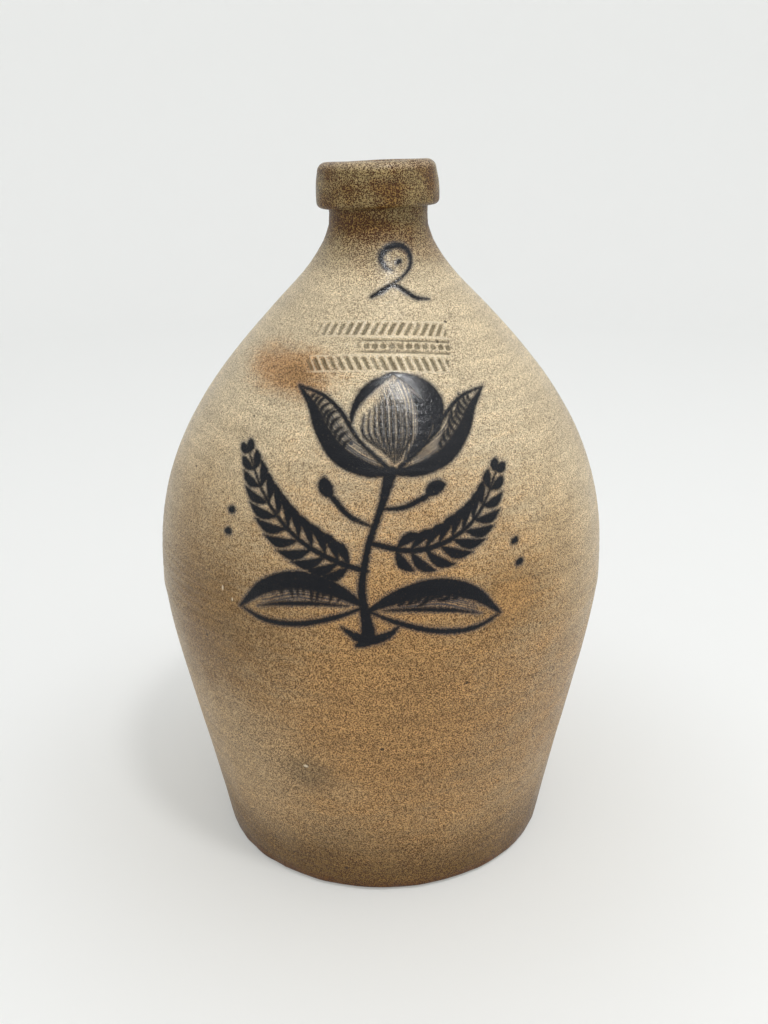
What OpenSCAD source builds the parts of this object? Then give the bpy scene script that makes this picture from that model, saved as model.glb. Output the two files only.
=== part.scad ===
// Two-gallon ovoid stoneware jug: thrown in two halves, with a turned collar and a pulled strap handle.
// Millimetres. The foot stands on z = 0, the jug's axis is Z, the decorated front faces -Y and the
// handle is at the back, on +Y.

/* [Foot and belly] */
// Radius of the foot ring that the jug stands on
foot_r = 89; // [80:0.5:98]
// Width of the small bevel that is trimmed round the foot
heel_bevel = 2; // [1:0.5:5]
// Radius at the widest part of the belly
belly_r = 117; // [108:0.5:124]
// Height of the widest part of the belly
belly_z = 155.5; // [145:0.5:168]
// How far the wall leans out above the foot before it turns up
foot_flare_r = 14.3; // [8:0.1:18]
// Height over which that lean carries on
foot_flare_z = 80; // [60:1:95]
// Height below the widest part over which the wall stands upright
belly_round_below = 30; // [20:1:40]
// Height above the widest part over which the wall stands upright
belly_round_above = 61; // [45:1:70]

/* [Shoulder and neck] */
// Radius where the shoulder starts to turn up into the neck
shoulder_r = 44; // [40:0.5:50]
// Height from the widest part of the belly up to that place
shoulder_rise = 142; // [137:0.5:148]
// Lean of the shoulder from the vertical there, in degrees
shoulder_lean = 44.6; // [40:0.1:50]
// Length of straight run of the shoulder below that place
shoulder_run = 62.5; // [45:0.5:70]
// Length of the sweep from that place towards the neck
shoulder_sweep = 18; // [12:0.5:22]
// Outer radius of the neck
neck_r = 24.5; // [22:0.5:27]
// Height from the start of that turn up to the straight neck
neck_rise = 32.5; // [29:0.5:36]
// Length over which the sweep turns into the neck
neck_sweep = 8; // [5:0.5:12]

/* [Walls] */
// Thickness of the thrown wall
wall = 8.5; // [6:0.5:11]
// Thickness of the floor
floor_t = 10; // [7:0.5:14]
// Thickness of the brown slip that lines the inside
lining_t = 0.6; // [0.4:0.1:1]
// Depth of the groove round the seam of the two halves
seam_depth = 3; // [2:0.5:4.5]
// Height of that groove
seam_h = 7; // [4:0.5:10]
// How far the coil that fills the groove stands proud
seam_proud = 0.4; // [0.2:0.1:1]

/* [Mouth] */
// Height of the straight neck, up to the collar's top
mouth_rise = 26; // [24:0.5:30]
// Outer radius of the collar at its lower edge
collar_r = 29.8; // [28:0.1:32]
// How much narrower the collar is at the top
collar_taper = 1; // [0:0.1:2]
// Height of the collar
collar_h = 21; // [16:0.5:22]
// Rounding of the collar's upper edge
collar_top_round = 4; // [2:0.5:5]
// Rounding of the collar's lower edge
collar_low_round = 2.5; // [1:0.5:3]
// Rise of the collar towards the right-hand side, in degrees
collar_tilt_side = 2; // [0:0.1:3]
// Rise of the collar towards the front, in degrees
collar_tilt_front = 2.3; // [0:0.1:3]
// How far the neck's end lies below the collar's top
lip_drop = 1.5; // [1:0.1:3]
// Rounding of the mouth's inner edge
mouth_round = 3; // [1:0.5:4]

/* [Handle] */
// Width of the strap at the neck
strap_top_w = 38; // [32:1:42]
// Width of the strap in the middle of its arch
strap_mid_w = 31; // [26:1:36]
// Width of the strap where it is pressed on the shoulder
strap_foot_w = 40; // [32:1:46]
// Thickness of the strap in the middle of its arch
strap_t = 10.5; // [8:0.5:13]
// Extra thickness of the strap at its two ends
strap_root_t = 4; // [2:0.5:6]
// Depth of the two finger grooves that run along the strap
strap_groove = 1.2; // [0.5:0.1:1.8]
// Distance from the collar's lower edge down to the middle of the strap's upper end
strap_below_collar = 14; // [12:0.5:18]
// Share of the belly-to-shoulder curve at which the strap's foot is pressed on
strap_foot_share = 0.62; // [0.58:0.01:0.66]
// How far the arch is pulled out from the axis
strap_reach = 108; // [100:0.5:116]
// How far the arch is pulled up above its upper end
strap_rise = 19; // [12:0.5:22]

/* [Luting] */
// How far the clay that is smeared round the strap's upper end reaches past the strap's edges
top_lute_side = 3.5; // [2:0.5:6]
// How far it reaches above and below the strap there
top_lute_rise = 5.5; // [4:0.5:7]
// How far the clay that is smeared round the strap's foot reaches past the strap's edges
foot_lute_side = 5; // [3:0.5:8]
// How far it reaches above and below the strap there
foot_lute_rise = 11.5; // [9:0.5:14]
// Half thickness of both smears
lute_t = 5.5; // [4:0.5:7]

/* [Hidden] */
$fn = 96;

clay = "tan";
brown_slip = "saddlebrown";

// How far a cut runs past what it cuts
overrun = 5;

// Steps along each stretch of the outline, and round a small arc
low_steps = 14;
high_steps = 16;
top_steps = 12;
rest_steps = 2;
arc_steps = 6;

// Shares of the outline's lowest stretch at which the floor's fillet starts and the two halves meet
fillet_share = 0.13;
seam_share = 0.93;
// Share of the seam's groove over which the coil that fills it is flat
coil_flat_share = 0.33;
// Shares of the strap's reach and of its rise at which the pulls of its arch lie
strap_out_share = 0.6;
strap_drop_share = 0.5;
// Share of the oval's curve that is left in the strap's flattened section
strap_round_share = 0.75;
// How suddenly the strap thickens towards its ends
strap_root_power = 4;
strap_rings = 24;
strap_sides = 20;

// Rings and sides of a smear of clay, and the slope at which its crown is cut off flat, in degrees
smear_rings = 8;
smear_sides = 28;
smear_crown = 82;

bore_r = neck_r - wall;
shoulder_z = belly_z + shoulder_rise;
neck_z = shoulder_z + neck_rise;
jug_h = neck_z + mouth_rise;
lip_z = jug_h - lip_drop;
collar_z = jug_h - collar_h;
strap_top_z = collar_z - strap_below_collar;
strap_bite = wall / 2;
strap_end_t = strap_t + strap_root_t;
top_lute_w = strap_top_w / 2 + top_lute_side;
top_lute_h = strap_end_t / 2 + top_lute_rise;
foot_lute_w = strap_foot_w / 2 + foot_lute_side;
foot_lute_h = strap_end_t / 2 + foot_lute_rise;

// A point on a cubic curve with end points a and d and pulls b and c, and the curve's direction there
function cubic(a, b, c, d, t) =
    pow(1 - t, 3) * a + 3 * t * pow(1 - t, 2) * b + 3 * t * t * (1 - t) * c + pow(t, 3) * d;
function cubic_way(a, b, c, d, t) =
    3 * pow(1 - t, 2) * (b - a) + 6 * t * (1 - t) * (c - b) + 3 * t * t * (d - c);

// The outline's three stretches, from the foot to the neck, as [radius, height] points
lean = [-sin(shoulder_lean), cos(shoulder_lean)];
foot_at = [foot_r, 0];
belly_at = [belly_r, belly_z];
shoulder_at = [shoulder_r, shoulder_z];
neck_at = [neck_r, neck_z];
low = [foot_at, foot_at + [foot_flare_r, foot_flare_z], belly_at - [0, belly_round_below], belly_at];
high = [belly_at, belly_at + [0, belly_round_above], shoulder_at - shoulder_run * lean, shoulder_at];
top = [shoulder_at, shoulder_at + shoulder_sweep * lean, neck_at - [0, neck_sweep], neck_at];

// A point of stretch s at share t, set in from the outer face by depth
function outline(s, t, depth) =
    let (p = cubic(s[0], s[1], s[2], s[3], t),
         w = cubic_way(s[0], s[1], s[2], s[3], t),
         n = [-w[1], w[0]] / norm(w))
    p + depth * n;
function stretch(s, from, to, steps, depth) =
    [for (i = [0:steps]) outline(s, from + (to - from) * i / steps, depth)];
function backwards(points) = [for (i = [len(points) - 1:-1:0]) points[i]];
function arc(centre, r, from, to) =
    [for (i = [0:arc_steps])
        let (a = from + (to - from) * i / arc_steps) centre + r * [cos(a), sin(a)]];

function lower_wall(depth, from = 0) = stretch(low, from, seam_share, low_steps, depth);
function upper_wall(depth) = concat(
    stretch(low, seam_share, 1, rest_steps, depth),
    stretch(high, 0, 1, high_steps, depth),
    stretch(top, 0, 1, top_steps, depth));

// The rounded corner between the floor and the wall, seen at a depth inside the wall
function floor_corner(depth) =
    let (start = outline(low, fillet_share, depth),
         r = start[1] - floor_t - (depth - wall))
    arc(start - [r, 0], r, -90, 0);

module turned(points) {
    rotate_extrude() polygon(points);
}

// Everything inside the jug's outer face, used to cut what is pressed on it
module filled_jug() {
    turned(concat([[0, 0]], lower_wall(0), upper_wall(0), [[neck_r, jug_h + overrun], [0, jug_h + overrun]]));
}

// The groove round the seam: two slopes that meet at seam_depth, carried on past the outer face
seam_at = outline(low, seam_share, 0);
module seam_groove() {
    mouth_h = seam_h * (seam_depth + overrun) / seam_depth;
    turned([
        seam_at - [seam_depth, 0],
        seam_at + [overrun, -mouth_h / 2],
        seam_at + [overrun, mouth_h / 2]]);
}

// Lower half: floor and wall, thrown in one. The curve of the wall sets out at three times its first
// pull, which tells how far up it the heel's bevel ends.
module lower_body() {
    heel_share = heel_bevel / (3 * foot_flare_z);
    color(clay) difference() {
        turned(concat(
            [[0, 0], [foot_r - heel_bevel, 0], outline(low, heel_share, 0)],
            lower_wall(0, 1 / low_steps),
            backwards(lower_wall(wall, fillet_share)),
            backwards(floor_corner(wall)),
            [[0, floor_t]]));
        seam_groove();
    }
}

// Upper half: shoulder and neck, thrown in one and turned over on the lower half
module upper_body() {
    color(clay) difference() {
        turned(concat(
            upper_wall(0),
            [[neck_r, lip_z]],
            arc([bore_r + mouth_round, lip_z - mouth_round], mouth_round, 90, 180),
            backwards(upper_wall(wall))));
        seam_groove();
    }
}

// Soft coil worked into the groove round the seam and smoothed over, a little proud of the wall
module seam_coil() {
    coil_flat = seam_h * coil_flat_share;
    color(clay) intersection() {
        seam_groove();
        turned([
            seam_at - [seam_depth, 0],
            seam_at + [0, -seam_h / 2],
            seam_at + [seam_proud, -coil_flat / 2],
            seam_at + [seam_proud, coil_flat / 2],
            seam_at + [0, seam_h / 2]]);
    }
}

// Band that is turned round the neck's end. It sits a little aslant, as it does on the jug.
module collar() {
    collar_top_r = collar_r - collar_taper;
    color(clay) difference() {
        translate([0, 0, collar_z]) rotate([-collar_tilt_front, -collar_tilt_side, 0]) turned(concat(
            [[bore_r, 0]],
            arc([collar_r - collar_low_round, collar_low_round], collar_low_round, -90, 0),
            arc([collar_top_r - collar_top_round, collar_h - collar_top_round], collar_top_round, 0, 90),
            [[bore_r, collar_h]]));
        translate([0, 0, collar_z - overrun]) cylinder(r = neck_r, h = collar_h + 2 * overrun);
    }
}

// Brown slip, poured in and out again, that seals the inside
module slip_lining() {
    inner = wall + lining_t;
    color(brown_slip) turned(concat(
        [[0, floor_t]],
        floor_corner(wall),
        lower_wall(wall, fillet_share),
        upper_wall(wall),
        backwards(upper_wall(inner)),
        backwards(lower_wall(inner, fillet_share)),
        backwards(floor_corner(inner)),
        [[0, floor_t + lining_t]]));
}

// The strap's middle line, in the plane x = 0, from inside the neck's wall to inside the shoulder's
strap_line = [
    [neck_r - strap_bite, strap_top_z],
    [strap_reach * strap_out_share, strap_top_z + strap_rise],
    [strap_reach, strap_top_z - strap_rise * strap_drop_share],
    outline(high, strap_foot_share, strap_bite)];

function strap_width(t) =
    t < 0.5 ? strap_mid_w + (strap_top_w - strap_mid_w) * pow(1 - 2 * t, 2)
            : strap_mid_w + (strap_foot_w - strap_mid_w) * pow(2 * t - 1, 2);
function strap_thickness(t) = strap_t + strap_root_t * pow(2 * t - 1, strap_root_power);

// One ring of the strap: a flat oval with two grooves along its outer face
function strap_ring(t) =
    let (p = cubic(strap_line[0], strap_line[1], strap_line[2], strap_line[3], t),
         w = cubic_way(strap_line[0], strap_line[1], strap_line[2], strap_line[3], t),
         out = [-w[1], w[0]] / norm(w))
    [for (i = [0:strap_sides - 1])
        let (a = 360 * i / strap_sides,
             x = cos(a),
             across = sign(x) * pow(abs(x), strap_round_share) * strap_width(t) / 2,
             groove = sin(a) > 0 ? strap_groove * pow(sin(2 * a), 2) : 0,
             lift = sin(a) * strap_thickness(t) / 2 - groove)
        [across, p[0] + out[0] * lift, p[1] + out[1] * lift]];

// A closed skin over rings of points that follow each other
module swept(rings) {
    n = len(rings[0]);
    last = len(rings) - 1;
    polyhedron(
        points = [for (r = rings) each r],
        faces = concat(
            [for (k = [0:last - 1]) for (i = [0:n - 1]) let (j = (i + 1) % n)
                each [[k * n + i, k * n + n + i, k * n + j], [k * n + j, k * n + n + i, k * n + n + j]]],
            [[for (i = [0:n - 1]) i]],
            [[for (i = [n - 1:-1:0]) last * n + i]]));
}

module whole_strap() {
    swept([for (k = [strap_rings:-1:0]) strap_ring(k / strap_rings)]);
}

// Handle: a strap of clay pulled by hand, bent over and pressed on at both ends
module strap_handle() {
    color(clay) difference() {
        whole_strap();
        filled_jug();
    }
}

// A low oval smear of clay, w and h its half width and half height, on the jug's face at a
// [radius, height] point and turned back to lie along it
function smear_ring(up, w, h) =
    [for (i = [0:smear_sides - 1])
        let (a = 360 * i / smear_sides)
        [w * cos(up) * cos(a), lute_t * sin(up), h * cos(up) * sin(a)]];

module smear(at, lean_back, w, h) {
    translate([0, at[0], at[1]]) rotate([lean_back, 0, 0])
        swept([for (k = [0:smear_rings]) smear_ring(smear_crown * (1 - 2 * k / smear_rings), w, h)]);
}

// Clay that is smeared round the strap's upper end
module top_luting() {
    color(clay) difference() {
        smear([neck_r, strap_top_z], 0, top_lute_w, top_lute_h);
        filled_jug();
        whole_strap();
    }
}

// Clay that is smeared round the strap's foot
module foot_luting() {
    way = cubic_way(high[0], high[1], high[2], high[3], strap_foot_share);
    color(clay) difference() {
        smear(outline(high, strap_foot_share, 0), atan2(-way[0], way[1]), foot_lute_w, foot_lute_h);
        filled_jug();
        whole_strap();
    }
}

lower_body();
upper_body();
seam_coil();
collar();
slip_lining();
strap_handle();
top_luting();
foot_luting();
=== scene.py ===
import math

import bmesh
import bpy
import numpy as np
from mathutils import Matrix, Vector


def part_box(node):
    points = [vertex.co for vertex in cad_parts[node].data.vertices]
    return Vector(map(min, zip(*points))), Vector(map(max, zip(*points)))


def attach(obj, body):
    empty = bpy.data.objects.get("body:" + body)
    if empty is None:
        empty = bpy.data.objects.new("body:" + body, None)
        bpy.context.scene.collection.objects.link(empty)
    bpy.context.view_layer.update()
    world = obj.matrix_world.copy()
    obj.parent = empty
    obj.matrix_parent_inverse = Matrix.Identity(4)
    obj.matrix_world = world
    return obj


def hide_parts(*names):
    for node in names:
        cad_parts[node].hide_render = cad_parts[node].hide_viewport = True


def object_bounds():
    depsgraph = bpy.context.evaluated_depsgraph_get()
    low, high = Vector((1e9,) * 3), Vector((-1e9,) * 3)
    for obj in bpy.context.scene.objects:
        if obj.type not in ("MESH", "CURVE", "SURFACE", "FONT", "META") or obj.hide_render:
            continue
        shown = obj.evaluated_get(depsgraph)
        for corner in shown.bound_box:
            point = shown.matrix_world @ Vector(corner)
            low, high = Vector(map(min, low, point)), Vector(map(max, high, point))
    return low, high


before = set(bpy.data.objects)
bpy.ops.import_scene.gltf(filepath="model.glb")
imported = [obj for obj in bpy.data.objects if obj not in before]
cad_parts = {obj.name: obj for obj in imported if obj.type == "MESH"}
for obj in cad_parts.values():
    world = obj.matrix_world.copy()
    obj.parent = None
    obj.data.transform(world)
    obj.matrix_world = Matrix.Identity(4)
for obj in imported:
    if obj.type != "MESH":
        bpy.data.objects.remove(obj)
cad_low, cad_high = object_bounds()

# Jug wall. Grey-buff stoneware, thrown on a wheel in two halves that are luted together below the
# belly's widest part. Its outline is three curves, as in the CAD model: foot to belly, belly to
# shoulder, and shoulder to neck. The potter's fingers left rings in it, strongest above the seam.
mm = 0.001
foot_at, belly_at = np.array([89, 0]) * mm, np.array([117, 155.5]) * mm
shoulder_at, neck_at = np.array([44, 297.5]) * mm, np.array([24.5, 330]) * mm
foot_flare = np.array([14.3, 80]) * mm
belly_round_below, belly_round_above = 30 * mm, 61 * mm
shoulder_run, shoulder_sweep, neck_sweep = 62.5 * mm, 18 * mm, 8 * mm
shoulder_lean = math.radians(44.6)
wall_t, floor_t, floor_round, heel_bevel = 8.2 * mm, 9.8 * mm, 16 * mm, 2 * mm
lip_over_neck = 6 * mm
neck_end_z, inner_low_z = cad_high.z - lip_over_neck, floor_t + floor_round
curve_steps, row_step, turn_steps, inner_rows = 200, 1.3 * mm, 160, 32
sole_rings, floor_rings = (0, 0.35, 0.7, 0.92), (0.6, 0.3, 0)
ring_depth, ring_pitch = 0.13 * mm, 4.6 * mm
ring_z, ring_reach = 168 * mm, 17 * mm
seam_z = (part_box("seam_coil")[0].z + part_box("seam_coil")[1].z) / 2
seam_ridge, seam_reach = 0.35 * mm, 4 * mm
oval_depth, soft_size = 0.4 * mm, 55 * mm
turning_lines = ((326.3 * mm, 0.18 * mm), (318.6 * mm, 0.14 * mm), (331.5 * mm, 0.14 * mm))
line_reach, line_wander = 0.9 * mm, 0.5 * mm
wall_lumps = ((0.5 * mm, 90 * mm, 11), (0.12 * mm, 12 * mm, 7))
heel_lumps, heel_worn_h = ((0.5 * mm, 14 * mm, 5), (0.35 * mm, 5 * mm, 6)), 7 * mm
near_zero, merge_gap = 0.1 * mm, 0.01 * mm
lattice = np.random.default_rng(7).uniform(-1, 1, (32, 32, 32))


def cubic(a, b, c, d, t):
    """Points at shares t of a cubic curve from a to d with pulls b and c"""
    t = np.asarray(t)[:, None]
    return (1 - t) ** 3 * a + 3 * t * (1 - t) ** 2 * b + 3 * t * t * (1 - t) * c + t ** 3 * d


lean = np.array([-math.sin(shoulder_lean), math.cos(shoulder_lean)])
shares = np.linspace(0, 1, curve_steps)
outline = np.vstack([
    cubic(foot_at, foot_at + foot_flare, belly_at - [0, belly_round_below], belly_at, shares),
    cubic(belly_at, belly_at + [0, belly_round_above], shoulder_at - shoulder_run * lean, shoulder_at,
          shares[1:]),
    cubic(shoulder_at, shoulder_at + shoulder_sweep * lean, neck_at - [0, neck_sweep], neck_at, shares[1:]),
    [[neck_at[0], neck_end_z]]])
outline_up = np.concatenate([[0], np.cumsum(np.hypot(*np.diff(outline, axis=0).T))])
slopes = np.gradient(outline[:, 0], outline[:, 1])


def radius_at(z):
    """The wall's outer radius at a height"""
    return np.interp(z, outline[:, 1], outline[:, 0])


def up_at(z):
    """Distance along the wall from the foot up to a height"""
    return np.interp(z, outline[:, 1], outline_up)


def slope_at(z):
    """How fast the outer radius grows with height"""
    return np.interp(z, outline[:, 1], slopes)


def ripple(places, size, seed):
    """Smooth noise from -1 to 1 at points in metres, whose lumps are about size across"""
    p = places / size + seed * 5.3
    cell = np.floor(p).astype(int)
    f = (p - cell) ** 2 * (3 - 2 * (p - cell))
    total = np.zeros(len(p))
    for corner in np.ndindex(2, 2, 2):
        x, y, z = ((cell + corner) % len(lattice)).T
        total += np.prod(np.where(corner, f, 1 - f), axis=1) * lattice[x, y, z]
    return total


def lumpy(places, lumps):
    """How far lumps, each given as its height, its size and a seed, raise a surface at points near it"""
    return sum(height * ripple(places, size, seed) for height, size, seed in lumps)


def thrown(places):
    """How far the thrown surface stands out from the true outline at points near it"""
    x, y, z = places.T
    turn = np.arctan2(x, -y)
    soft = ripple(places, soft_size, 3)
    rings = np.sin((z / ring_pitch + turn / (2 * math.pi)) * 2 * math.pi + 2.2 * soft)
    strong = 0.25 + np.exp(-((z - ring_z) / ring_reach) ** 2)
    out = ring_depth * rings * strong * (0.7 + 0.5 * soft)
    out += seam_ridge * np.exp(-((z - seam_z) / seam_reach) ** 2) * (0.8 + 0.7 * soft)
    out += oval_depth * np.cos(2 * turn + 0.6) * np.sin(z / cad_high.z * 3)
    out += lumpy(places, wall_lumps)
    for height, depth in turning_lines:
        wander = line_wander * np.sin(turn * 2 + height / mm)
        out -= depth * np.exp(-((z - height - wander) / line_reach) ** 2)
    return out + np.clip(1 - z / heel_worn_h, 0, 1) * lumpy(places * [1, 1, 0], heel_lumps)


def wall_profile():
    """Vertices from the middle of the foot, up the outside, over the lip and down the inside"""
    sole = [[share * foot_at[0], 0] for share in sole_rings] + [[foot_at[0] - heel_bevel, 0]]
    ups = np.arange(up_at(heel_bevel), outline_up[-1], row_step)
    outer = np.column_stack([np.interp(ups, outline_up, outline[:, k]) for k in (0, 1)])
    z = np.linspace(neck_end_z, inner_low_z, inner_rows)
    inner = np.column_stack([radius_at(z) - wall_t * np.sqrt(1 + slope_at(z) ** 2), z])
    turn = np.radians([30, 60, 90])
    fillet = inner[-1] - [floor_round, 0] + floor_round * np.column_stack([np.cos(turn), -np.sin(turn)])
    floor = [[fillet[-1][0] * share, floor_t] for share in floor_rings]
    return np.vstack([sole, outer, inner, fillet, floor])


def spun(profile, steps):
    """A closed skin turned from a profile of radii and heights"""
    bm = bmesh.new()
    verts = [bm.verts.new((r, 0, z)) for r, z in profile]
    edges = [bm.edges.new(pair) for pair in zip(verts, verts[1:])]
    bmesh.ops.spin(bm, geom=verts + edges, cent=(0, 0, 0), axis=(0, 0, 1), dvec=(0, 0, 0),
                   angle=2 * math.pi, steps=steps, use_merge=True, use_duplicate=False)
    bmesh.ops.remove_doubles(bm, verts=bm.verts, dist=merge_gap)
    bmesh.ops.recalc_face_normals(bm, faces=bm.faces)
    return bm


def made(name, bm):
    """A smooth-shaded object at the origin from a finished bmesh"""
    mesh = bpy.data.meshes.new(name)
    bm.to_mesh(mesh)
    bm.free()
    mesh.shade_smooth()
    piece = bpy.data.objects.new(name, mesh)
    bpy.context.scene.collection.objects.link(piece)
    return piece


def places_of(mesh):
    """The mesh's vertices as rows of x, y and z"""
    flat = np.empty(len(mesh.vertices) * 3)
    mesh.vertices.foreach_get("co", flat)
    return flat.reshape(-1, 3)


# Pressed rows and brushwork. While the clay was soft, a notched wheel was run along the shoulder in
# three arched rows. Cobalt slip was then brushed on by hand: a tulip with fern fronds, two drooping
# leaves and a capacity numeral. Places on the wall are millimetres across from the front and up it.
brush_steps, brush_press, brush_least = 6, 1.2, 0.2
bud_length, bud_fat = 10.5, 2.9


def smooth_run(points, steps):
    """A smooth run through points, with so many steps from each of them to the next"""
    p = np.vstack([2 * points[0] - points[1], points, 2 * points[-1] - points[-2]])
    t = np.linspace(0, 1, steps, endpoint=False)[:, None]
    run = []
    for a, b, c, d in zip(p, p[1:], p[2:], p[3:]):
        bend, twist = 2 * a - 5 * b + 4 * c - d, 3 * b - a - 3 * c + d
        run.append(0.5 * (2 * b + (c - a) * t + bend * t ** 2 + twist * t ** 3))
    return np.vstack(run + [points[-1]])


def stroke(*points):
    """A brush stroke through points of (across, up, half width), spread by the brush's press"""
    run = smooth_run(np.array(points, float), brush_steps)
    run[:, 2] = np.maximum(run[:, 2] * brush_press, brush_least)
    return run


def along(run, share):
    """The place at a share of a run's length and the angle in which the run goes there"""
    k = min(int(share * (len(run) - 1)), len(run) - 2)
    way = run[k + 1, :2] - run[k, :2]
    return run[k, :2] + way * (share * (len(run) - 1) - k), math.atan2(way[1], way[0])


def comma(at, turn, size, fat, bend=0.12):
    """A comma-shaped dab from a place, in the direction turn, fat in the middle"""
    middle = at + 0.55 * size * np.array([math.cos(turn + bend), math.sin(turn + bend)])
    end = at + size * np.array([math.cos(turn - bend), math.sin(turn - bend)])
    return stroke((*at, 0.4), (*middle, fat), (*end, 0.3))


def bud(turn, *stalk):
    """A stalk through points, and a bud at its end that leans in the direction turn"""
    return [stroke(*stalk), comma(np.array(stalk[-1][:2]), turn, bud_length, bud_fat)]


def frond(rib, count, size, fat, splay):
    """Dabs on both sides of a rib, as on a fern"""
    run = stroke(*rib)
    dabs = [run]
    for share in np.linspace(0.14, 0.97, count):
        at, turn = along(run, share)
        length = size * math.sin(math.pi * (0.16 + 0.78 * share)) ** 0.8
        for side in (-1, 1):
            dabs.append(comma(at, turn + side * math.radians(splay - 12 * share), length, fat, side * 0.12))
    return dabs


def comb(edge, count, size, fat, turn_in):
    """Short dabs combed inwards from the edge of a petal or a leaf"""
    run = stroke(*edge)
    dabs = []
    for share in (np.arange(count) + 0.5) / count:
        at, turn = along(run, share)
        length = size * math.sin(math.pi * (0.14 + 0.72 * share)) * (0.85 + 0.15 * math.sin(19 * share))
        dabs.append(comma(at, turn + math.radians(turn_in), length, fat, 0.18))
    return dabs


stem = [
    stroke((-11, 159, 0.8), (-6, 163, 2.8), (-6.6, 172, 2.2), (-8.4, 186, 1.6), (-5.5, 204, 1.4),
           (0.5, 222, 1.5), (4.6, 237, 2.6)),
    stroke((-18, 168, 0.4), (-11.5, 163.8, 1.8), (-5.5, 162.2, 2.2), (2, 164, 1.7), (8.5, 169, 0.4)),
    *bud(0.6, (0.8, 221, 0.6), (10, 221.5, 1.1), (20, 225.5, 1.3)),
    *bud(2.1, (-2.6, 213, 0.6), (-13, 217.5, 1.1), (-20.5, 225, 1.3))]
tulip = [
    stroke((5.5, 237, 1.4), (-6, 238.4, 3.0), (-18, 244.5, 3.6), (-26, 255.5, 3.0), (-30.5, 266, 2.0),
           (-37.5, 275.5, 0.6)),
    stroke((-37.5, 275.5, 0.6), (-25, 271.5, 1.0), (-16.5, 263.5, 1.1), (-9.5, 252, 0.9), (3.4, 239, 1.0)),
    stroke((6.5, 237, 1.4), (18, 238, 2.8), (30, 243.5, 3.5), (38.5, 253.5, 3.0), (43.5, 264, 2.0),
           (50.5, 272.5, 0.6)),
    stroke((50.5, 272.5, 0.6), (38.5, 269.5, 1.0), (29.5, 261.5, 1.1), (22, 251, 0.9), (8.6, 239, 1.0)),
    stroke((-13, 257.5, 0.6), (-10.8, 267, 1.4), (-4.4, 276, 2.1), (6, 283.5, 0.8)),
    stroke((6, 283.5, 0.8), (17.5, 277.5, 2.9), (24.8, 267.5, 3.6), (25.6, 256.5, 1.8), (21, 250, 0.5)),
    stroke((14.5, 273, 0.6), (20.4, 263, 3.0), (18.8, 252.5, 2.6), (12, 243.5, 0.8)),
    *[stroke((6.4 + 0.9 * i, 241 + abs(i), 0.4), (6 + 2.6 * i, 254, 0.7),
             (5.2 + 2.4 * i, 272 - 1.7 * abs(i), 0.25)) for i in range(-5, 4)],
    *comb([(-15, 245, 1), (-24.5, 257.5, 1), (-32, 270, 1)], 10, 12, 0.85, -58),
    *comb([(28, 244, 1), (37.5, 256, 1), (44, 267.5, 1)], 10, 12, 0.85, 62)]
fronds = [
    *frond([(-6.4, 194, 1.2), (-20, 198, 1.3), (-38, 207, 1.1), (-53, 222, 0.9), (-65, 243, 0.6)],
           11, 18, 2.1, 46),
    *frond([(-3.5, 206, 1.2), (14, 202.5, 1.3), (31, 206, 1.1), (45, 216, 0.9), (56, 235, 0.6)],
           10, 17, 2.1, 46),
    *[stroke((x - 0.6, up, 1.3), (x + 0.8, up + 0.4, 1.5))
      for x, up in ((-75, 203), (-73, 213), (66, 190), (63.5, 200))]]
leaves = [
    stroke((-7, 178, 0.9), (-20, 185, 2.9), (-37, 188, 3.6), (-54, 182.5, 2.8), (-68, 170.5, 0.6)),
    stroke((-7, 178, 0.7), (-20, 172.5, 1.1), (-37, 167.6, 1.2), (-54, 166.6, 1.1), (-68, 170.5, 0.5)),
    stroke((-14, 178, 0.4), (-29, 178, 0.9), (-45, 176, 0.9), (-58, 172.6, 0.3)),
    stroke((-6, 176, 0.9), (8, 182.5, 2.8), (25, 185.5, 3.5), (42, 180.5, 2.8), (56, 168.5, 0.6)),
    stroke((-6, 176, 0.7), (8, 170, 1.1), (25, 165, 1.2), (42, 164, 1.1), (56, 168.5, 0.5)),
    stroke((1, 176, 0.4), (16, 176, 0.9), (32, 174, 0.9), (46, 170.4, 0.3)),
    *comb([(-18, 184, 1), (-36, 187.5, 1), (-54, 182.5, 1)], 10, 9.5, 0.95, 122),
    *comb([(8, 182, 1), (25, 185, 1), (41, 180.5, 1)], 9, 9.5, 0.95, -122)]
numeral = [
    stroke((9.2, 341.8, 1.0), (9.9, 342.4, 1.1)),
    stroke((6.4, 338.2, 0.4), (3.2, 339.6, 0.9), (1.2, 344.2, 1.1), (3.5, 348.6, 1.3), (8.5, 350.4, 1.3),
           (13.6, 348.6, 1.1), (15.9, 344, 1.0), (14.9, 338.7, 0.8), (11, 334, 0.7), (6.5, 330.7, 0.7)),
    stroke((6.9, 331, 0.7), (2, 327.5, 1.2), (-3.2, 323.9, 0.8)),
    stroke((3.6, 329.5, 0.6), (8.6, 329.6, 0.9), (13.4, 325.8, 1.0), (18.4, 322.2, 1.0), (24.4, 321.2, 0.5))]
ink = stem + tulip + fronds + leaves + numeral
wash = [
    stroke((3.5, 240, 1.8), (-7, 244.5, 4.4), (-16.5, 251.5, 6.2), (-23.5, 261, 5.2), (-30, 269.5, 1.8)),
    stroke((8.5, 240, 1.8), (19, 244, 4.4), (29.5, 251, 6.2), (36.5, 260, 5.2), (43, 267, 1.8)),
    stroke((8, 242, 2), (10, 249, 7.4), (10.6, 259, 12.4), (10, 269, 10.4), (7, 278, 4.0)),
    stroke((-13, 179.5, 1.4), (-25, 181, 4), (-39, 181.4, 5), (-54, 176.5, 3.2)),
    stroke((0, 177.5, 1.4), (12, 179, 4), (27, 179, 5), (42, 174, 3.2))]
slip_thick = 0.12 * mm
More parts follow.
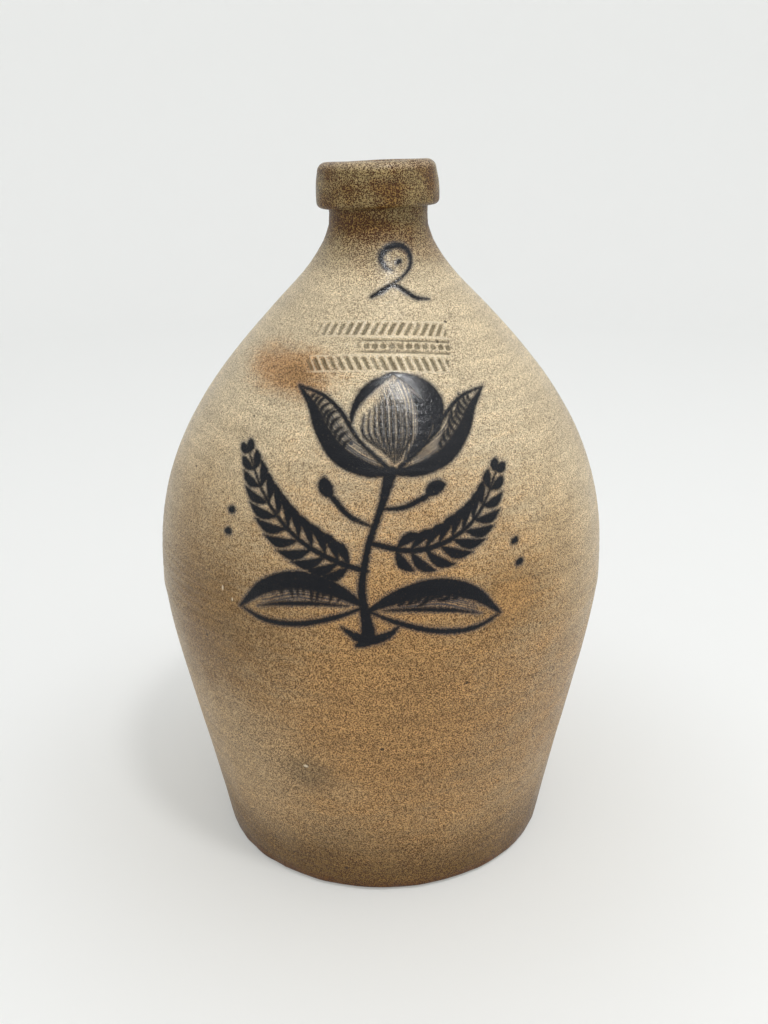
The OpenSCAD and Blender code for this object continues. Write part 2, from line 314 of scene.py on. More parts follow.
row_ups, row_ends = (288.5, 297.5, 306.5), ((-41, 33), (-17, 34), (-34, 33))
row_slants, row_arch, row_middle, row_fade = (0.45, 0, -0.45), 0.0024, -4, 12
rows_half_w, rows_half_h = 42, 15
notch_pitch, notch_h, notch_w, notch_depth, notch_slope = 3.9, 3, 0.75, 1.1, 0.6
bead_r, line_w, burr_h, burr_off, burr_reach = 1.3, 0.4, 0.32, 1, 0.5
far_off, look_out, hair_shift = 20.0, 5, 7
ink_margin, wash_margin, fine_up, fine_across, upright_rise = 2.8, 0.8, 1, 6, 0.05 * mm
front_room, map_stops = 0.6, (0.06, 0.84, 0.86)


def nearest(points, strokes):
    """Millimetres from each (across, up) point to the nearest stroke's edge, negative inside it, and
    how far to the side of that stroke's middle the point lies"""
    best, across = np.full(len(points), far_off), np.zeros(len(points))
    for number, run in enumerate(strokes):
        reach = run[:, 2].max() + look_out
        boxed = (points > run[:, :2].min(0) - reach) & (points < run[:, :2].max(0) + reach)
        close = np.flatnonzero(boxed.all(axis=1))
        for a, b in zip(run, run[1:]):
            way, off = b[:2] - a[:2], points[close] - a[:2]
            size = np.hypot(*way) + 1e-6
            share = np.clip(off @ way / size ** 2, 0, 1)
            gap = np.hypot(*(off - share[:, None] * way).T) - a[2] - share * (b[2] - a[2])
            better = gap < best[close]
            best[close[better]] = gap[better]
            across[close[better]] = off[better] @ np.array([-way[1], way[0]]) / size + hair_shift * number
    return best, across


def above_rows(points):
    """How far (across, up) points lie above the middle one of the arched rows"""
    return points[:, 1] - row_ups[1] + row_arch * (points[:, 0] - row_middle) ** 2


def pressed_rows(points):
    """How deep the notched wheel went in at (across, up) points, in millimetres"""
    deep, x = np.zeros(len(points)), points[:, 0]
    for level, (start, end), slant in zip(row_ups, row_ends, row_slants):
        high = above_rows(points) + row_ups[1] - level
        aside = np.abs((x + slant * high) / notch_pitch % 1 - 0.5) * notch_pitch
        gap = np.maximum(aside - notch_w, np.abs(high) - notch_h)
        if not slant:
            gap = np.minimum(np.hypot(aside, high) - bead_r, np.abs(np.abs(high) - notch_h) - line_w)
        worn = (0.8 + 0.2 * np.sin(x * 0.37 + level)) * np.clip((x - start) / row_fade, 0.3, 1) * (x < end)
        cut = notch_depth * np.clip(0.5 - gap / notch_slope, 0, 1)
        burr = burr_h * np.exp(-((gap - burr_off) / burr_reach) ** 2)
        deep += worn * (x > start) * (cut - burr)
    return deep


def on_front(places):
    """The (across, up) places in millimetres of points on the wall"""
    x, y, z = places.T
    return np.column_stack([np.arctan2(x, -y) * radius_at(z), up_at(z)]) / mm


def cut_finer(bm, upright, cuts):
    """Cuts the upright or the level edges of each face that the wheel or the brush touches"""
    middles = np.array([face.calc_center_median() for face in bm.faces])
    shown = (np.hypot(*middles[:, :2].T) > radius_at(middles[:, 2]) - wall_t / 2) & (middles[:, 1] < 0)
    spots = on_front(middles)
    painted = (nearest(spots, ink)[0] < ink_margin) | (nearest(spots, wash)[0] < wash_margin)
    pressed = (np.abs(spots[:, 0] - row_middle) < rows_half_w) & (np.abs(above_rows(spots)) < rows_half_h)
    edges = {}
    for face, chosen in zip(bm.faces, shown & (painted | pressed)):
        if chosen:
            edges.update((edge, None) for edge in face.edges
                         if (abs(edge.verts[0].co.z - edge.verts[1].co.z) > upright_rise) == upright)
    bmesh.ops.subdivide_edges(bm, edges=list(edges), cuts=cuts, use_grid_fill=True)


def add_front_map(mesh, places, outside):
    """A UV map round the wall and along its profile, in which the brushed front gets the most room"""
    corners = np.empty(len(mesh.loops), int)
    mesh.loops.foreach_get("vertex_index", corners)
    sizes = np.empty(len(mesh.polygons), int)
    mesh.polygons.foreach_get("loop_total", sizes)
    face_of = np.repeat(np.arange(len(sizes)), sizes)
    x, y, z = places[corners].T
    r = np.hypot(x, y)
    middle = np.arctan2(np.bincount(face_of, x), -np.bincount(face_of, y))[face_of]
    turn = np.where(r > near_zero, np.arctan2(x, -y), middle)
    turn = middle + (turn - middle + math.pi) % (2 * math.pi) - math.pi
    round_share = 0.5 + (turn + front_room * np.sin(turn)) / (2 * math.pi)
    floor_edge = radius_at(inner_low_z) - wall_t
    inside_way = neck_end_z - z + np.where(z < inner_low_z, np.maximum(floor_edge - r, 0), 0)
    inside_share = inside_way / (neck_end_z - floor_t + floor_edge)
    sole, wall, inside = map_stops
    along_share = np.where(z < near_zero, sole * r / foot_at[0], inside + (1 - inside) * inside_share)
    along_share[outside[corners]] = sole + (wall - sole) * up_at(z[outside[corners]]) / outline_up[-1]
    spots = np.column_stack([round_share, along_share])
    mesh.uv_layers.new(name="OFBake").data.foreach_set("uv", spots.ravel())


bm = spun(wall_profile(), turn_steps)
cut_finer(bm, upright=True, cuts=fine_up)
cut_finer(bm, upright=False, cuts=fine_across)
jug_wall = made("jug_wall", bm)
places = places_of(jug_wall.data)
r = np.hypot(*places[:, :2].T)
outside = (r > radius_at(places[:, 2]) - wall_t / 2) & (places[:, 2] > near_zero)
places[outside, :2] *= (radius_at(places[outside, 2]) / r[outside])[:, None]
slope = slope_at(places[:, 2])
normals = np.column_stack([places[:, :2] / np.maximum(r, mm)[:, None], -slope]) / np.hypot(1, slope)[:, None]
front = outside & (places[:, 1] < 0)
spots = on_front(places[front])
ink_gap, wash_gap = np.full((2, len(places)), far_off)
wash_side, notches = np.zeros((2, len(places)))
ink_gap[front] = nearest(spots, ink)[0]
wash_gap[front], wash_side[front] = nearest(spots, wash)
notches[front] = pressed_rows(spots)
slip_relief = slip_thick * np.clip(0.5 - ink_gap, 0, 1)
places[outside] += normals[outside] * (thrown(places) + slip_relief - notches * mm)[outside, None]
jug_wall.data.vertices.foreach_set("co", places.ravel())
brushed = jug_wall.data.attributes.new("brushed", "FLOAT_VECTOR", "POINT")
brushed.data.foreach_set("vector", np.column_stack([ink_gap, wash_gap, wash_side]).ravel())
pressed = jug_wall.data.attributes.new("pressed", "FLOAT", "POINT")
pressed.data.foreach_set("value", notches)
add_front_map(jug_wall.data, places, outside)
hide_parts("lower_body", "upper_body", "seam_coil")
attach(jug_wall, "root")

# Salt glaze. Salt thrown into the hot kiln settles on the clay as a thin, uneven glass with the skin of
# an orange: pale grey-buff on the shoulder, toasted brown below and round the neck, with iron specks.
# Some light and shade is painted into the colour: shade at the foot, along the sole, on the left belly,
# in the pressed hollows and in the strap's creases, highlights on the rim and the burrs, a reflection
# at the far sides, and stripes of light and shade along the throwing rings.
class Wire:
    """A node's output that takes part in sums: each operator adds the Math node that works it out"""

    def __init__(self, socket):
        self.socket = socket

    def node(self, kind, values, out=0, **settings):
        """Any node of this material: its settings are made first, then its sockets' values or links"""
        tree = self.socket.id_data
        node = tree.nodes.new("ShaderNode" + kind)
        for name, value in settings.items():
            setattr(node, name, value)
        for name, value in values.items():
            if isinstance(value, Wire):
                tree.links.new(value.socket, node.inputs[name])
            else:
                node.inputs[name].default_value = value
        return Wire(node.outputs[out]) if node.outputs else None

    def maths(self, operation, first, second):
        return self.node("Math", {0: first, 1: second}, operation=operation)

    def __add__(self, other):
        return self.maths("ADD", self, other)

    def __sub__(self, other):
        return self.maths("SUBTRACT", self, other)

    def __mul__(self, other):
        return self.maths("MULTIPLY", self, other)

    def __rsub__(self, other):
        return self.maths("SUBTRACT", other, self)

    __radd__, __rmul__ = __add__, __mul__

    def ramp(self, start, end, low=0, high=1):
        """A smooth rise from low to high as the value goes from start to end"""
        return self.node("MapRange", {"Value": self, "From Min": start, "From Max": end, "To Min": low,
                                      "To Max": high}, interpolation_type="SMOOTHSTEP")

    def noise(self, size, detail=2):
        """Noise from 0 to 1 whose lumps are about size across"""
        return self.node("TexNoise", {"Vector": self, "Scale": 1 / size, "Detail": detail})

    def cells(self, size, out=0):
        """Cells about size across: how far off each cell's middle is or, with out, another output"""
        return self.node("TexVoronoi", {"Vector": self, "Scale": 1 / size}, out=out)

    def length(self):
        """How long these places' arrows from the origin are"""
        return self.node("VectorMath", {0: self}, out="Value", operation="LENGTH")

    def stretched(self, x, y, z, location=(0, 0, 0)):
        """These places with each axis multiplied and then moved"""
        return self.node("Mapping", {"Vector": self, "Scale": (x, y, z), "Location": location})

    def attribute(self, name, out="Fac"):
        """What the mesh holds under a name, and 0 where it holds nothing"""
        return self.node("Attribute", {}, out=out, attribute_name=name)

    def mix(self, first, second):
        """The first colour where this value is 0 and the second where it is 1"""
        return self.node("Mix", {0: self, 6: first, 7: second}, out=2, data_type="RGBA")

    def scaled(self, amount):
        """This colour made darker or lighter"""
        return self.node("VectorMath", {0: self, "Scale": amount}, operation="SCALE")


def paint(*levels):
    """A colour that is given as it looks on a screen, from 0 to 255"""
    return (*[((level / 255 + 0.055) / 1.055) ** 2.4 for level in levels], 1)


def new_material(name):
    """An empty material, and a wire that gives Object coordinates in it"""
    material = bpy.data.materials.new(name)
    material.use_nodes = True
    material.node_tree.nodes.clear()
    return material, Wire(material.node_tree.nodes.new("ShaderNodeTexCoord").outputs["Object"])


glaze_ior, coat_roughness = 1.3, 0.15
cloud_size, drift_size, band_size, band_squash = 48 * mm, 17 * mm, 60 * mm, 12
cell_size, peel_size, fleck_size = 0.63 * mm, 0.6 * mm, 1.5 * mm
streak_size, streak_stretch = 2.6 * mm, 10
speck_pitch, skin_depth, skin_coat = 9 * mm, 0.18 * mm, 0.06
mid_clay_z, high_clay_z, warm_z = (70 * mm, 150 * mm), (165 * mm, 262 * mm), (130 * mm, 260 * mm)
foot_toast_and_shade_z, neck_z, rim_highlight_z = (4 * mm, 58 * mm), (300 * mm, 330 * mm), (352 * mm, 355.5 * mm)
heel_z, heel_ragged, sole_shadow_z = (0.5 * mm, 8 * mm), 8 * mm, (0, 3 * mm)
mouth_slip_r, mouth_slip_z = (16.6 * mm, 18.8 * mm), (200 * mm, 210 * mm)
low_clay, mid_clay, high_and_side_sheen_clay = paint(179, 151, 110), paint(184, 158, 118), paint(207, 190, 158)
neck_clay, neck_green, foot_toast_and_shade_clay = paint(130, 100, 51), paint(146, 127, 85), paint(125, 95, 48)
flame_clay, blush_clay, ring_and_left_shade_clay = paint(179, 139, 88), paint(183, 143, 98), paint(129, 99, 57)
smudge_and_hollow_shade_grey, pit_and_sole_shadow_brown, toasted_and_crease_shade = paint(100, 93, 72), paint(64, 36, 12), paint(106, 64, 28)
rim_highlight_clay, nick_and_burr_highlight_white, speck_brown = paint(196, 176, 146), paint(226, 212, 184), paint(46, 33, 24)
brown_slip, cobalt_dark, cobalt_thin = paint(66, 39, 22), paint(3, 8, 17), paint(33, 46, 62)

# Patches of colour: across, up, half width and half height in millimetres, then the colour, how much
# of it there is in the middle, and how much more the clay is toasted there. Most are what the flame
# and the ash left; the two pale ones far out at the sides are a painted reflection, and the dark one
# on the left belly is painted shade.
patches = (
    # painted shade: the dark patch at (-98, 158) on the left belly
    (8, 126, 104, 152, flame_clay, 0.95, 0.3), (-98, 158, 72, 68, ring_and_left_shade_clay, 0.8, 0.2),
    # painted reflection: the two pale patches far out at the right and the left sides
    (160, 185, 45, 110, high_and_side_sheen_clay, 0.6, -0.3), (-170, 180, 44, 110, high_and_side_sheen_clay, 0.75, -0.3),
    (-70, 82, 40, 40, mid_clay, 0.6, 0.2), (-44, 282, 33, 16, blush_clay, 1, 0.4),
    (-38, 279, 17, 9, ring_and_left_shade_clay, 0.4, 0.3), (61, 173, 29, 27, ring_and_left_shade_clay, 0.55, 0.2),
    (61, 173, 18, 17, flame_clay, 0.75, -0.3), (-36, 79, 18, 16, smudge_and_hollow_shade_grey, 0.45, 0.2),
    (-17, 70, 15, 12, mid_clay, 0.3, -0.2), (32, 350, 22, 18, ring_and_left_shade_clay, 0.25, 0.2),
    (300, 110, 130, 120, flame_clay, 0.9, 0.5), (-250, 176, 90, 70, ring_and_left_shade_clay, 0.55, 0.4),
    (190, 236, 50, 40, smudge_and_hollow_shade_grey, 0.25, 0.2), (250, 70, 70, 50, ring_and_left_shade_clay, 0.5, 0.4),
    (-300, 262, 50, 30, blush_clay, 0.5, 0.3))
nicks = ((-79, 176, 0.6, 1.7), (-73, 172, 0.5, 1.2), (-38, 84, 1.6, 1.2))
wet_spot = (8, 296, 44, 52)


def nearness(place, across, up, half_w, half_h):
    """How near a point is to a spot on the wall, in millimetres: 1 at its middle and 0 at its edge"""
    z = np.interp(up * mm, outline_up, outline[:, 1])
    turn = across * mm / radius_at(z)
    x, y = radius_at(z) * math.sin(turn), -radius_at(z) * math.cos(turn)
    scale = np.array([1 / half_w, 0.5 / half_w, 1 / half_h]) / mm
    return 1 - place.stretched(*scale, location=-scale * [x, y, z]).length()


class Grain:
    """The height and the noises that the colours, the pits and the skin of the glaze share"""

    def __init__(self, place):
        self.height = place.node("SeparateXYZ", {0: place}, out="Z")
        self.drift, self.fleck = place.noise(drift_size, 3), place.noise(fleck_size, 3)
        self.peel, self.cells = place.noise(peel_size), place.cells(cell_size)
        self.bands = place.stretched(1, 1, band_squash).noise(band_size, 3)
        self.streaks = place.stretched(1 / streak_stretch, 1 / streak_stretch, 1).noise(streak_size)
        self.wander = (place.noise(cloud_size, 3) - 0.5) * 0.09 + (self.bands - 0.5) * 0.03


def fired_clay(place, grain):
    """The clay's colour before its pits, with painted shade, a painted highlight and a painted reflection in
    it, and how far it is toasted
    """
    wavy = grain.height + grain.wander
    colour = wavy.ramp(*mid_clay_z).mix(low_clay, mid_clay)
    colour = wavy.ramp(*high_clay_z).mix(colour, high_and_side_sheen_clay)
    foot = (grain.height + grain.wander * 0.25).ramp(*foot_toast_and_shade_z, 1, 0)
    neck = (grain.height + grain.wander * 0.2).ramp(*neck_z)
    rim = grain.height.ramp(*rim_highlight_z, 0, 0.5)
    toast = (foot * 0.6 + neck * 1.3) * grain.drift.ramp(0.25, 0.75, 0.6, 1.3)
    toast = toast + wavy.ramp(*warm_z, 0.35, 0) - rim * 0.6
    ragged = (grain.drift - 0.5) * 0.45 + (grain.fleck - 0.5) * 0.5 + (grain.streaks - 0.5) * 0.4
    for across, up, half_w, half_h, tint, most, more in patches:
        share = (nearness(place, across, up, half_w, half_h) + ragged).ramp(0, 0.8) * most
        colour = share.mix(colour, tint)
        toast = toast + share * more
    # darker brown towards the foot: partly toasted clay, partly painted shade
    colour = foot.mix(colour, foot_toast_and_shade_clay)
    colour = neck.mix(colour, grain.drift.ramp(0.4, 0.62).mix(neck_green, neck_clay))
    # painted highlight: a pale line along the top of the collar's rim
    colour = rim.mix(colour, rim_highlight_clay)
    heel = (grain.height + (grain.drift - 0.5) * heel_ragged).ramp(*heel_z, 0.9, 0)
    # painted contact shadow: the lowest few millimetres of the foot turn towards the pits' dark brown
    colour = grain.height.ramp(*sole_shadow_z, 0.7, 0).mix(heel.mix(colour, toasted_and_crease_shade), pit_and_sole_shadow_brown)
    # painted shade: darker brown in the strap's finger grooves and in the creases where its ends meet the
    # wall
    painted_crease_shade = (place.attribute("painted_crease_shade") + (grain.fleck - 0.5) * 0.3).ramp(0.15, 0.85, 0, 0.85)
    return painted_crease_shade.mix(colour, toasted_and_crease_shade), toast


def specked(colour, place):
    """A colour with dark iron specks and a few pale nicks"""
    dots, sizes = place.cells(speck_pitch), place.cells(speck_pitch, "Color")
    speck = (dots - sizes.maths("POWER", sizes, 3) * 0.12).ramp(0, 0.04, 0.85, 0)
    colour = speck.mix(colour, speck_brown)
    for nick in nicks:
        colour = (nearness(place, *nick).ramp(0, 0.6) * 0.8).mix(colour, nick_and_burr_highlight_white)
    return colour


def decorated(colour, place, grain):
    """A colour under the brushed slip and in the pressed rows, with painted shade in their hollows and a
    painted highlight on their burrs, and how much slip covers it
    """
    brushed = place.attribute("brushed", "Vector")
    ink_off, wash_off, aside = [brushed.node("SeparateXYZ", {0: brushed}, out=axis) for axis in "XYZ"]
    shaken = (grain.fleck - 0.5) * 1.3 + (grain.peel - 0.5) * 0.8
    line = (ink_off + shaken).ramp(-0.8, 0.7, 1, 0)
    bleed = (ink_off + shaken).ramp(-0.2, 2.2, 0.4, 0)
    hair = place.node("TexNoise", {"W": aside * 1.3, "Scale": 1, "Detail": 2}, noise_dimensions="1D")
    film = (wash_off + shaken).ramp(-5, 1.4, 0.85, 0) * hair.ramp(0.36, 0.6, 0.3, 1)
    cover = 1 - (1 - line) * (1 - film) * (1 - bleed)
    worn = grain.cells.ramp(0.8, 0.96, 1, 0.92) * grain.fleck.ramp(0.2, 0.35, 0.97, 1)
    thick = line + film * 0.45 + (grain.drift - 0.5) * 0.9 + (grain.fleck - 0.5) * 0.5
    colour = (cover * worn).mix(colour, thick.ramp(0.2, 0.85).mix(cobalt_thin, cobalt_dark))
    pressed = place.attribute("pressed")
    # grey in the pressed hollows: partly a cobalt wash, partly painted shade
    colour = pressed.ramp(0.08, 0.6, 0, 0.65).mix(colour, smudge_and_hollow_shade_grey)
    # painted highlight: pale on the raised burrs beside the notches
    return pressed.ramp(-0.25, -0.05, 0.45, 0).mix(colour, nick_and_burr_highlight_white), cover


def glazed(colour, roughness, height, depth, coat):
    """Ends a material with a glassy surface that has a bump of the given depth"""
    normal = height.node("Bump", {"Height": height, "Distance": depth, "Strength": 1})
    surface = colour.node("BsdfPrincipled", {
        "Base Color": colour, "Roughness": roughness, "Normal": normal, "Coat Weight": coat,
        "Coat Roughness": coat_roughness, "Coat IOR": glaze_ior, "IOR": glaze_ior})
    surface.node("OutputMaterial", {"Surface": surface})


def salt_glazed(name, painted=False):
    """The stoneware's finish. The brush and the wheel touched only the painted wall."""
    material, place = new_material(name)
    grain = Grain(place)
    colour, toast = fired_clay(place, grain)
    pits = (grain.cells - toast * 0.14 - (grain.fleck - 0.5) * 0.38).ramp(0.28, 0.48, 1, 0)
    colour = (pits * (toast * 0.22 + 0.72)).mix(colour, pit_and_sole_shadow_brown)
    shade = grain.peel.ramp(0.25, 0.75, 0.64, 1.42) * grain.fleck.ramp(0.3, 0.7, 1.03, 0.97)
    shade = shade * grain.drift.ramp(0.1, 0.9, 0.92, 1.08) * grain.bands.ramp(0.1, 0.9, 0.92, 1.08)
    # the streaks' lighter and darker stripes along the throwing rings are painted light and shade
    colour = specked(colour.scaled(shade * grain.streaks.ramp(0.2, 0.8, 0.88, 1.12)), place)
    gloss = grain.drift.ramp(0.2, 0.8, 0.3, 0.42) + grain.peel * 0.08
    if painted:
        colour, cover = decorated(colour, place, grain)
        wet = (nearness(place, *wet_spot) + (grain.fleck - 0.5) * 0.6).ramp(0, 0.7)
        gloss = gloss - cover * 0.06 - wet * 0.24
    middle_off = place.stretched(1, 1, 0).length()
    inside = middle_off.ramp(*mouth_slip_r, 1, 0) * grain.height.ramp(*mouth_slip_z)
    skin = grain.peel * 0.5 + grain.fleck * 0.8 + grain.streaks * 1.1 - pits * 0.4
    glazed(inside.mix(colour, brown_slip), gloss, skin, skin_depth, skin_coat)
    return material


jug_wall.data.materials.append(salt_glazed("salt_glaze_with_cobalt", painted=True))

# Collar. A thick band of clay, turned with a tool round the neck's end on the wheel. It has a soft
# square section and sits a little aslant, its upper edge flows into the mouth, and it has one chip.
collar_r, collar_taper, collar_h = 29.8 * mm, 1 * mm, 21 * mm
collar_swell, mouth_r = 0.5 * mm, 15.8 * mm
top_round, low_round, mouth_round = 4.6 * mm, 2.8 * mm, 5 * mm
mouth_depth, tuck_r, tuck_lean, tuck_gap = 11 * mm, 21 * mm, 2 * mm, 0.5 * mm
collar_side_tilt, collar_front_tilt = math.radians(2), math.radians(2.3)
collar_z = 335 * mm
collar_steps = 192
band_lumps, lip_lumps = ((0.35 * mm, 16 * mm, 21), (0.12 * mm, 5 * mm, 22)), ((0.5 * mm, 20 * mm, 23),)
mouth_fade = 3 * mm
chip_at, chip_r, chip_depth = np.array([14.5, -21.5, 356.5]) * mm, 3.2 * mm, 0.9 * mm


def arc(centre, radius, start, end, steps):
    """Points on part of a circle, with the angles in degrees"""
    turn = np.radians(np.linspace(start, end, steps + 1))
    return np.array(centre) + radius * np.column_stack([np.cos(turn), np.sin(turn)])


def collar_profile():
    """The band's section, from inside the neck's wall round the outside and down into the mouth"""
    low = arc((collar_r - low_round, low_round), low_round, -90, 0, 5)
    high = arc((collar_r - collar_taper - top_round, collar_h - top_round), top_round, 0, 90, 8)
    share = np.linspace(0, 1, 15)[1:-1, None]
    side = low[-1] + share * (high[0] - low[-1])
    side[:, 0] += collar_swell * np.sin(np.pi * share[:, 0])
    lip = arc((mouth_r + mouth_round, collar_h - mouth_round), mouth_round, 90, 180, 8)
    mouth = [[mouth_r, collar_h - depth] for depth in (0.7 * mouth_depth, mouth_depth)]
    tuck = [[tuck_r - tuck_lean, collar_h - mouth_depth], [tuck_r, tuck_gap]]
    return np.vstack([tuck[1:], low, side, high, lip, mouth, tuck])


bm = spun(collar_profile(), collar_steps)
bmesh.ops.rotate(bm, verts=bm.verts, matrix=Matrix.Rotation(-collar_side_tilt, 3, "Y"))
bmesh.ops.rotate(bm, verts=bm.verts, matrix=Matrix.Rotation(-collar_front_tilt, 3, "X"))
bmesh.ops.translate(bm, verts=bm.verts, vec=(0, 0, collar_z))
collar = made("collar_band", bm)
places = places_of(collar.data)
r = np.hypot(*places[:, :2].T)
shown = np.clip((r - mouth_r) / mouth_fade, 0, 1)
chip = np.clip(1 - np.linalg.norm(places - chip_at, axis=1) / chip_r, 0, 1) ** 0.6 * chip_depth
places[:, :2] *= (1 + shown * lumpy(places, band_lumps) / r)[:, None]
places[:, 2] += shown * lumpy(places, lip_lumps) - chip
collar.data.vertices.foreach_set("co", places.ravel())
collar.data.materials.append(salt_glazed("salt_glaze_on_collar"))
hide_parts("collar")
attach(collar, "root")

# Strap handle. A tapering strap of clay, pulled by hand, bent over behind the neck and pressed on at
# both ends. Two finger grooves run along it, and its ends spread out where they are thumbed down.
strap_line = np.array([[20.25, 321], [64.8, 340], [108, 311.5], [83.4, 246]]) * mm
strap_top_w, strap_mid_w, strap_foot_w = 38 * mm, 31 * mm, 40 * mm
strap_thick, strap_root_thick, strap_groove = 10.5 * mm, 4 * mm, 1.2 * mm
strap_sides, strap_rings, root_rings, strap_round = 72, 96, 16, 0.75
strap_from, strap_to, way_step = 0.11, 0.9, 0.001
top_smear, foot_smear = np.array([22.5, 12.5]) * mm, np.array([25, 18.5]) * mm
smear_sink, smear_reach, smear_step = 0.8 * mm, 45 * mm, 0.25 * mm
strap_lumps, root_lumps, root_near = ((0.3 * mm, 14 * mm, 31),), ((0.7 * mm, 9 * mm, 32),), 12 * mm
groove_shade, crease_shade = 0.45, 0.9
strap_turn = np.arange(strap_sides) * 2 * math.pi / strap_sides
groove_shape = np.sin(2 * strap_turn) ** 2 * (strap_turn < math.pi)


def on_back(x, z):
    """The places on the back of the wall that lie x to the side and z up"""
    return np.column_stack([x, np.sqrt(radius_at(z) ** 2 - x ** 2), z])


def strap_ring(t):
    """One ring round the strap at share t of its line, and the way that the strap runs there"""
    spot = cubic(*strap_line, [t])[0]
    way = cubic(*strap_line, [t + way_step])[0] - cubic(*strap_line, [t - way_step])[0]
    way /= np.hypot(*way)
    wide = strap_mid_w + ((strap_top_w if t < 0.5 else strap_foot_w) - strap_mid_w) * (2 * t - 1) ** 2
    thick = strap_thick + strap_root_thick * (2 * t - 1) ** 4
    across = np.sign(np.cos(strap_turn)) * np.abs(np.cos(strap_turn)) ** strap_round * wide / 2
    lift = np.sin(strap_turn) * thick / 2 - strap_groove * groove_shape
    return np.column_stack([across, spot[0] - way[1] * lift, spot[1] + way[0] * lift]), np.array([0, *way])


def root(t, away, smear):
    """Rings that carry the strap on from share t to a smear of the given half sizes on the wall"""
    ring, way = strap_ring(t)
    reach = np.arange(0, smear_reach, smear_step)
    path = ring[:, None] + reach[:, None] * way * away
    inside = np.hypot(path[..., 0], path[..., 1]) < radius_at(path[..., 2])
    corner = path[np.arange(strap_sides), inside.argmax(axis=1)]
    foot = corner.mean(axis=0)
    fall = slope_at(foot[2])
    up = np.sin(strap_turn) * smear[1] * away / math.hypot(1, fall)
    edge = on_back(smear[0] * np.cos(strap_turn), foot[2] - up)
    edge -= smear_sink * np.array([0, 1, -fall]) / math.hypot(1, fall)
    shares = np.linspace(0, 1, root_rings + 1)[1:]
    return [(1 - s) ** 2 * ring + 2 * s * (1 - s) * corner + s * s * edge for s in shares]


bm = bmesh.new()
skin = root(strap_from, -1, top_smear)[::-1]
skin += [strap_ring(t)[0] for t in np.linspace(strap_from, strap_to, strap_rings + 1)]
skin += root(strap_to, 1, foot_smear)
rings = [bmesh.ops.create_circle(bm, segments=strap_sides, radius=1)["verts"] for ring in skin]
for ring, line in zip(rings, skin):
    for vert, place in zip(ring, line):
        vert.co = place
bmesh.ops.bridge_loops(bm, edges=bm.edges)
bmesh.ops.contextual_create(bm, geom=rings[0])
bmesh.ops.contextual_create(bm, geom=rings[-1])
bmesh.ops.recalc_face_normals(bm, faces=bm.faces)
handle = made("strap_handle_skin", bm)
places = places_of(handle.data)
near_wall = np.clip(1 - (np.hypot(*places[:, :2].T) - radius_at(places[:, 2])) / root_near, 0, 1)
lumps = lumpy(places, strap_lumps) + near_wall * lumpy(places, root_lumps)
out = places - [0, *strap_line.mean(axis=0)]
places += out * (lumps / np.linalg.norm(out, axis=1))[:, None]
handle.data.vertices.foreach_set("co", places.ravel())
# painted shade for the finger grooves and the root creases, kept on the strap's vertices
grooves = np.tile(groove_shape, len(skin)) * groove_shade * (1 - near_wall)
creases = np.clip(near_wall * 3 - 2, 0, 1) * crease_shade
painted_crease_shade = handle.data.attributes.new("painted_crease_shade", "FLOAT", "POINT")
painted_crease_shade.data.foreach_set("value", np.maximum(grooves, creases))
handle.data.materials.append(salt_glazed("salt_glaze_on_strap"))
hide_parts("strap_handle", "top_luting", "foot_luting")
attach(handle, "root")

# Slip lining. Dark brown slip that was poured in, swilled round and poured out again, so that the jug
# holds liquid. It keeps the CAD node's mesh, and shows down the mouth as a wet, nearly black brown.
run_size, run_stretch, pool_size, pool_depth, slip_coat = 6 * mm, 5, 3 * mm, 0.15 * mm, 0.4
slip_dark, slip_thin = paint(48, 27, 15), paint(92, 54, 30)

lining_material, place = new_material("brown_slip_glaze")
runs = place.stretched(1, 1, 1 / run_stretch).noise(run_size, 3)
slip_colour = runs.ramp(0.3, 0.7).mix(slip_dark, slip_thin)
glazed(slip_colour, runs.ramp(0.2, 0.8, 0.16, 0.34), place.noise(pool_size), pool_depth, slip_coat)
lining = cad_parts["slip_lining"]
lining.data.materials.clear()
lining.data.materials.append(lining_material)

# Studio. The camera stands where the photograph was taken from, in a white bowl of a backdrop that is
# pale from every side, with a painted shadow that greys the floor round the jug. A broad soft lamp
# lights the jug, a smaller one stands over the shoulder, and the third, the glint, shows only in the
# glaze. Sizes and places here are in metres.
camera_place, camera_tip, camera_roll = (0.0016, -0.545, 0.381), math.radians(90 - 20.62), math.radians(-0.51)
photo_focus, photo_h, sensor = 1082, 1024, 36
floor_reach, floor_turn, bowl_h, bowl_steps = 1.5, 0.5, 1.3, 96
bowl_rings, floor_shadow_r, paper_glow = (0, 0.3, 0.8), (0.1, 0.3), 0.4
floor_shadow_grey, paper_white, matt_white = paint(220, 221, 217), paint(246, 249, 249), paint(243, 243, 241)
sky_light, sky_seen = 0.745, 0.92
lamps = (("key", (1.1, -0.25, 1.3), 1.6, 4), ("top", (0.28, -0.62, 1.55), 0.22, 7),
         ("glint", (0.26, -0.6, 1.5), 0.15, 6))
lamps_aim = (0, 0, 0.18)

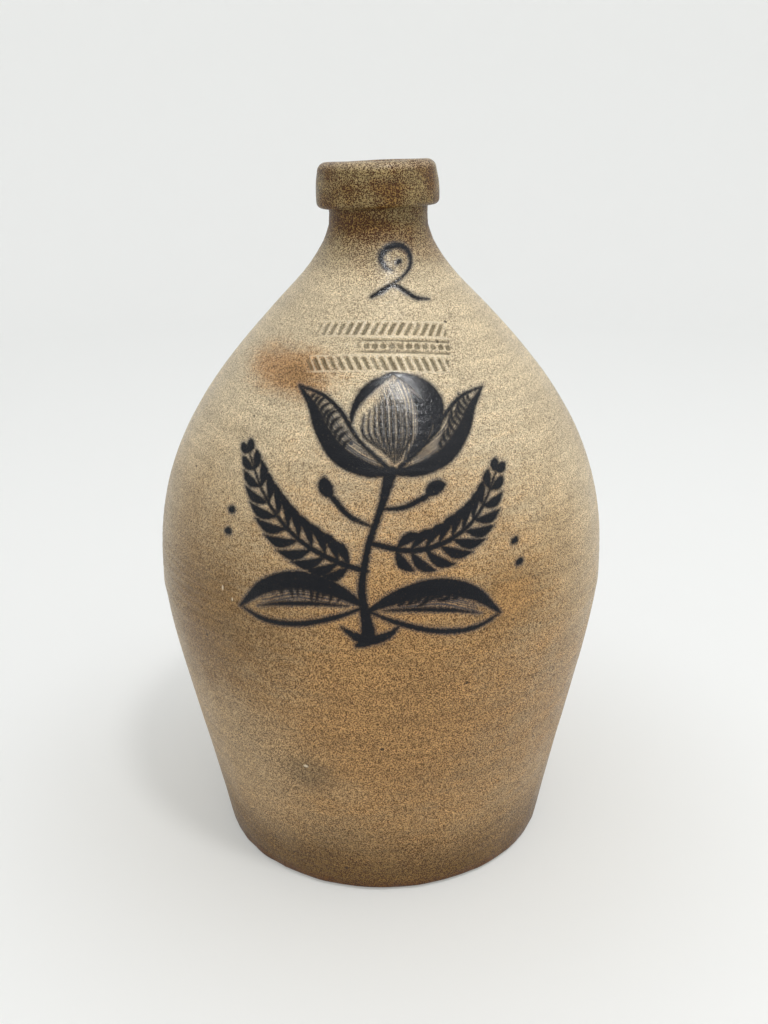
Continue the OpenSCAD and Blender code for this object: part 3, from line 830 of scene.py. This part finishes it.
camera_data = bpy.data.cameras.new("camera")
camera_data.sensor_width, camera_data.lens = sensor, photo_focus / photo_h * sensor
camera = bpy.data.objects.new("camera", camera_data)
bpy.context.scene.collection.objects.link(camera)
camera.matrix_world = (Matrix.Translation(camera_place) @ Matrix.Rotation(camera_tip, 4, "X")
                       @ Matrix.Rotation(camera_roll, 4, "Z"))
bpy.context.scene.camera = camera


def looking(tree):
    """1 for a ray from the camera, off a gloss or through glass, which all see the backdrop alike"""
    path = tree.nodes.new("ShaderNodeLightPath").outputs
    seen, mirrored = Wire(path["Is Camera Ray"]), Wire(path["Is Glossy Ray"])
    return seen.maths("MAXIMUM", seen.maths("MAXIMUM", seen, mirrored), Wire(path["Is Transmission Ray"]))


rim = arc((floor_reach, floor_turn), floor_turn, -90, 0, 16)
bowl = np.vstack([[[r, 0] for r in bowl_rings], rim, [[rim[-1][0], bowl_h]]])
backdrop = made("backdrop", spun(bowl, bowl_steps))
white, place = new_material("backdrop_paper")
# painted shadow: the paper is grey near the jug and white farther out, and the camera sees it glow
paper_and_shadow = place.stretched(1, 1, 0).length().ramp(*floor_shadow_r).mix(floor_shadow_grey, paper_white)
matt = paper_and_shadow.node("BsdfDiffuse", {"Color": matt_white})
glow = paper_and_shadow.node("Emission", {"Color": paper_and_shadow, "Strength": 1})
paper_seen = paper_and_shadow.node("MixShader", {0: looking(white.node_tree) * paper_glow, 1: matt, 2: glow})
paper_and_shadow.node("OutputMaterial", {"Surface": paper_seen})
backdrop.data.materials.append(white)

world = bpy.data.worlds.new("studio")
bpy.context.scene.world = world
world.use_nodes = True
world.node_tree.nodes.clear()
strength = looking(world.node_tree) * (sky_seen - sky_light) + sky_light
sky = strength.node("Background", {"Color": (1, 1, 1, 1), "Strength": strength})
sky.node("OutputWorld", {"Surface": sky})
for name, place, size, power in lamps:
    lamp = bpy.data.lights.new(name, "AREA")
    lamp.shape, lamp.size, lamp.energy = "DISK", size, power
    lamp_object = bpy.data.objects.new(name, lamp)
    lamp_object.visible_diffuse = name != "glint"
    bpy.context.scene.collection.objects.link(lamp_object)
    aim = Vector(lamps_aim) - Vector(place)
    lamp_object.matrix_world = Matrix.Translation(place) @ aim.to_track_quat("-Z", "Y").to_matrix().to_4x4()
bpy.context.scene.view_settings.view_transform = "Standard"
